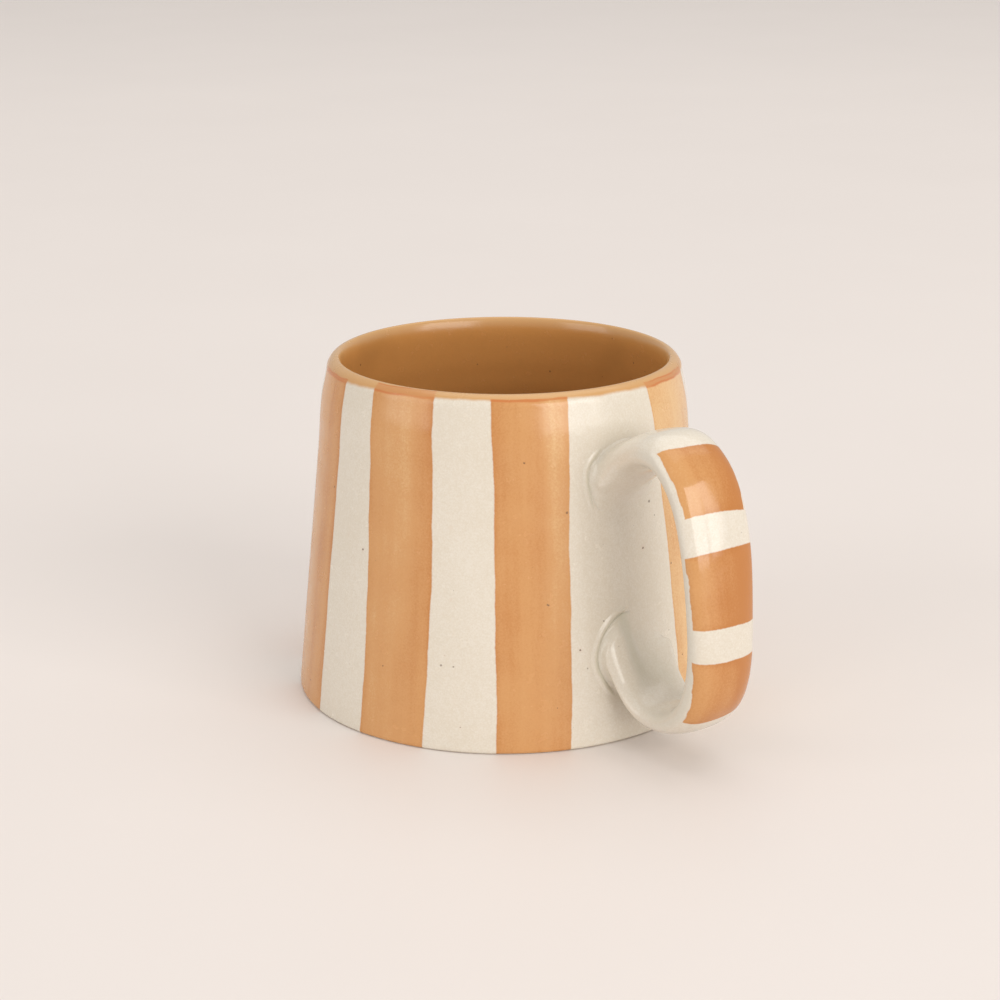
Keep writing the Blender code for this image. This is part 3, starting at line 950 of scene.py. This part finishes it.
def makeCupGlaze():
    material, tree, shader, place, grain = startGlaze("cup_glaze_painted")
    fromLip, lap = readValue(tree, "fromLip"), readValue(tree, "fromLap")
    up = addNode(tree, "SeparateXYZ", {0: place}).outputs[2]
    upMm = calc(tree, "MULTIPLY", up, 1000.0)
    inside = readValue(tree, "paintInside")
    inputs = {name: readValue(tree, "paint" + name) for name in ("Across", "Number", "Load")}
    inputs.update({"Place": place, "Inside": inside, "Along": upMm, "Soft Edge": 0.17, "Ragged": 0.2})
    paint = useGroup(tree, brushedPaint, inputs)
    cream = creamColour(tree, grain, place)
    banded = blendColour(tree, paint["Mask"], cream, paintColour(tree, paint["Density"]))
    # the honey glaze inside laps over the lip. It is thin over the lip itself and patchy, and painted shade
    # darkens it further down inside
    lapNoise = centred(tree, noise(tree, place, 190.0, 3.0))
    lap = calc(tree, "MULTIPLY_ADD", lapNoise, 1.1, lap)
    lapped = rise(tree, lap, 0.45, -0.55)
    thinning = rise(tree, calc(tree, "ABSOLUTE", calc(tree, "SUBTRACT", fromLip, 0.6)), 4.2, 0.5)
    paintedShadeDeepInside = calc(tree, "MULTIPLY", rise(tree, fromLip, -8.0, -50.0), 0.85)
    honey = blendColour(tree, grain["Shade"], colours["honey"], toned("honey", 1.1))
    patches = rise(tree, noise(tree, place, 42.0, 2.0, 0.5), 0.58, 0.74, 0.0, 0.22)
    honey = blendColour(tree, patches, honey, toned("honey", 0.55))
    honey = blendColour(tree, calc(tree, "MULTIPLY", thinning, 0.7), honey, colours["honeyThin"])
    honey = blendColour(tree, paintedShadeDeepInside, honey, toned("honey", 0.70))
    colour = blendColour(tree, lapped, banded, honey)
    # the painted bands run up a little way under it, and show as a deeper strip between two thin lines
    stripTop = calc(tree, "ADD", lap, readValue(tree, "paintUnder"))
    onBand = rise(tree, inside, -0.4, 0.3)
    strip = calc(tree, "MULTIPLY", rise(tree, stripTop, -0.25, 0.25), rise(tree, lap, 0.55, 0.0))
    strip = calc(tree, "MULTIPLY", calc(tree, "MULTIPLY", strip, 0.45), onBand)
    colour = blendColour(tree, strip, colour, colours["overlap"])
    broken = rise(tree, noise(tree, place, 160.0, 2.0), 0.35, 0.6, 0.3, 0.9)
    lowLine = rise(tree, calc(tree, "ABSOLUTE", lap), 0.36, 0.08)
    highLine = rise(tree, calc(tree, "ABSOLUTE", stripTop), 0.30, 0.08)
    line = calc(tree, "MULTIPLY", calc(tree, "MAXIMUM", lowLine, highLine), onBand)
    colour = blendColour(tree, calc(tree, "MULTIPLY", line, broken), colour, colours["overlap"])
    colour = speckle(tree, place, colour, glazes["cupSpecks"], glazes["halo"])
    colour = speckle(tree, place, colour, glazes["cupFineSpecks"])
    # bare clay under the foot
    foot = calc(tree, "MULTIPLY_ADD", lapNoise, 0.4, upMm)
    bare = calc(tree, "MULTIPLY", rise(tree, foot, 0.30, 0.12), calc(tree, "GREATER_THAN", fromLip, 0.0))
    clay = blendColour(tree, noise(tree, place, 900.0, 4.0, 0.7), colours["clay"], toned("clay", 0.82))
    colour = blendColour(tree, bare, colour, clay)
    bareRough = calc(tree, "MULTIPLY", bare, glazes["clayRoughness"])
    rough = calc(tree, "MAXIMUM", variedRoughness(tree, grain, glazes["cupRoughness"]), bareRough)
    raised = calc(tree, "MULTIPLY", paint["Mask"], glazes["paintRelief"])
    raised = calc(tree, "MULTIPLY_ADD", lapped, glazes["honeyRelief"], raised)
    finishGlaze(tree, shader, colour, rough, calc(tree, "ADD", grain["Height"], raised))
    return material


def makeHandleGlaze():
    material, tree, shader, place, grain = startGlaze("handle_glaze_painted")
    along, around = readValue(tree, "along"), readValue(tree, "around")
    across = readValue(tree, "across")
    ragged = centred(tree, noise(tree, place, 330.0, 2.0, 0.5))
    inside, load, number = -9.0, 0.0, 20.0
    nearSide = calc(tree, "MINIMUM", across, 0.0)
    towardsCorner = calc(tree, "MULTIPLY", nearSide, nearSide)
    for start, end, tiltStart, tiltEnd, corner, reach, narrowing, thickness in handle["bands"]:
        startLine = calc(tree, "MULTIPLY_ADD", across, tiltStart, start)
        startLine = calc(tree, "MULTIPLY_ADD", towardsCorner, -corner, startLine)
        fromStart = calc(tree, "SUBTRACT", along, startLine)
        toEnd = calc(tree, "SUBTRACT", calc(tree, "MULTIPLY_ADD", across, tiltEnd, end), along)
        edge = calc(tree, "MULTIPLY_ADD", fromStart, -narrowing, reach)
        sideways = calc(tree, "MULTIPLY_ADD", ragged, 1.1, calc(tree, "SUBTRACT", edge, around))
        within = calc(tree, "MINIMUM", calc(tree, "MINIMUM", fromStart, toEnd), sideways)
        here = calc(tree, "GREATER_THAN", fromStart, -3.0)
        inside = calc(tree, "MAXIMUM", inside, within)
        load = calc(tree, "MULTIPLY_ADD", here, calc(tree, "SUBTRACT", thickness, load), load)
        number = calc(tree, "ADD", number, here)
    load = calc(tree, "MULTIPLY_ADD", across, 0.045, load)
    inputs = {"Place": place, "Inside": inside, "Across": across, "Along": along, "Number": number}
    inputs.update({"Load": load, "Soft Edge": 0.14, "Ragged": 0.2})
    paint = useGroup(tree, brushedPaint, inputs)
    cream = creamColour(tree, grain, place)
    # painted shade greys the glaze round the strap's two flanks, and it is greenish where it pools
    paintedFlankShade = calc(tree, "MULTIPLY", rise(tree, around, 8.0, 10.5), rise(tree, around, 17.0, 13.0))
    midway = calc(tree, "MULTIPLY", rise(tree, along, 16.0, 26.0), rise(tree, along, 102.0, 88.0))
    paintedFlankShade = calc(tree, "MULTIPLY", paintedFlankShade, midway)
    cream = blendColour(tree, calc(tree, "MULTIPLY", paintedFlankShade, 0.55), cream, colours["paintedFlankShade"])
    # the greenish pool colour is partly glaze pooled in the grooves and thumb hollow, partly painted shade
    # there
    poolAndShade = readValue(tree, "poolAndShade")
    cream = blendColour(tree, calc(tree, "MULTIPLY", poolAndShade, 0.5, clamp=True), cream, colours["pooledAndShaded"])
    colour = blendColour(tree, paint["Mask"], cream, paintColour(tree, paint["Density"]))
    colour = speckle(tree, place, colour, glazes["handleSpecks"])
    rough = variedRoughness(tree, grain, glazes["handleRoughness"])
    raised = calc(tree, "MULTIPLY", paint["Mask"], glazes["paintRelief"])
    finishGlaze(tree, shader, colour, rough, calc(tree, "ADD", grain["Height"], raised))
    return material


def makeSlipGlaze():
    material, tree, shader, place, grain = startGlaze("slip_ring_glaze")
    cream = creamColour(tree, grain, place)
    # darker greenish along the groove: partly pooled glaze, partly painted shade
    poolAndShade = readValue(tree, "poolAndShade")
    colour = blendColour(tree, calc(tree, "MULTIPLY", poolAndShade, 0.8, clamp=True), cream, colours["pooledAndShaded"])
    rough = variedRoughness(tree, grain, glazes["handleRoughness"])
    finishGlaze(tree, shader, colour, rough, grain["Height"])
    return material


cupPiece.data.materials.append(makeCupGlaze())
handlePiece.data.materials.append(makeHandleGlaze())
slipGlaze = makeSlipGlaze()
for slip in slipPieces:
    slip.data.materials.append(slipGlaze)
print("glazes made")


tableTop = {
    "radii": [0.05, 0.3, 1.0, 6.0],  # rings from the middle out, far wider than the view
    "sides": 96,
    "thickness": 0.02,
    "colours": ((0.80, 0.745, 0.715), (0.83, 0.775, 0.745)),
    "cloudScale": 9.0,
    "roughness": 0.55,
}


def makeTable():
    # a round slab: rings out along the top and back along the underside
    theta = np.linspace(0, 2 * np.pi, tableTop["sides"], endpoint=False)[None, :]
    radius = np.array(tableTop["radii"])[:, None]
    top = np.stack([radius * np.cos(theta), radius * np.sin(theta), 0 * radius * theta], -1)
    under = (0, 0, -tableTop["thickness"])
    points = np.concatenate([top, top[::-1] + under])
    table = ringMesh("table_top", points, {}, startCap=[(0, 0, 0)], endCap=[under])
    material = bpy.data.materials.new("pale_table")
    material.use_nodes = True
    tree = material.node_tree
    shader = tree.nodes["Principled BSDF"]
    place = addNode(tree, "TexCoord").outputs["Object"]
    tone = blendColour(tree, noise(tree, place, tableTop["cloudScale"], 3.0), *tableTop["colours"])
    tree.links.new(tone, shader.inputs["Base Color"])
    shader.inputs["Roughness"].default_value = tableTop["roughness"]
    table.data.materials.append(material)


makeTable()
print("table made")
